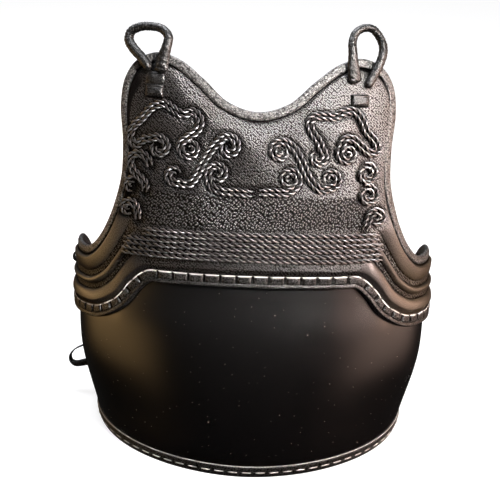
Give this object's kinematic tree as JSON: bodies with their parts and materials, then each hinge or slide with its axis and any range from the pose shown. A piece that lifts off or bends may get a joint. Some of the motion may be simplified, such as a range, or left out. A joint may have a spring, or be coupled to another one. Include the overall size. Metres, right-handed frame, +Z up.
{
  "type": "kendo chest protector",
  "caption": "Rigid lacquered trunk guard with a padded, corded leather chest panel, side wings and cord loops, stood on its rim.",
  "frame": {"origin": "middle of the footprint box, on the ground", "axes": "+Z up, -Y towards the protector's front, +X to the viewer's right as the front is seen"},
  "size_m": [0.4262, 0.263, 0.471],
  "materials": {
    "lacquer": "satin black lacquer",
    "leather": "pebbled, soft sheen",
    "trim_leather": "fine grain, stitched",
    "cord": "twisted cord"
  },
  "bodies": {
    "root": {"trunk_shell": "lacquer", "chest_panel": "leather", "rim_binding": "trim_leather", "side_binding_left": "trim_leather", "side_binding_right": "trim_leather", "chest_binding": "trim_leather", "lace_strip": "trim_leather", "shoulder_loop_left": "trim_leather", "shoulder_loop_right": "trim_leather", "loop_keeper_left": "trim_leather", "loop_keeper_right": "trim_leather", "waist_loop_left": "trim_leather", "waist_loop_right": "trim_leather", "wing_loop_left": "trim_leather", "wing_loop_right": "trim_leather", "rope_band_1": "cord", "rope_band_2": "cord", "rope_band_3": "cord", "cloud_scroll_left_1": "cord", "cloud_scroll_left_2": "cord", "cloud_scroll_left_3": "cord", "cloud_scroll_left_4": "cord", "cloud_scroll_left_5": "cord", "cloud_scroll_left_6": "cord", "cloud_scroll_right_1": "cord", "cloud_scroll_right_2": "cord", "cloud_scroll_right_3": "cord", "cloud_scroll_right_4": "cord", "cloud_scroll_right_5": "cord", "cloud_scroll_right_6": "cord"}
  },
  "joints": []
}
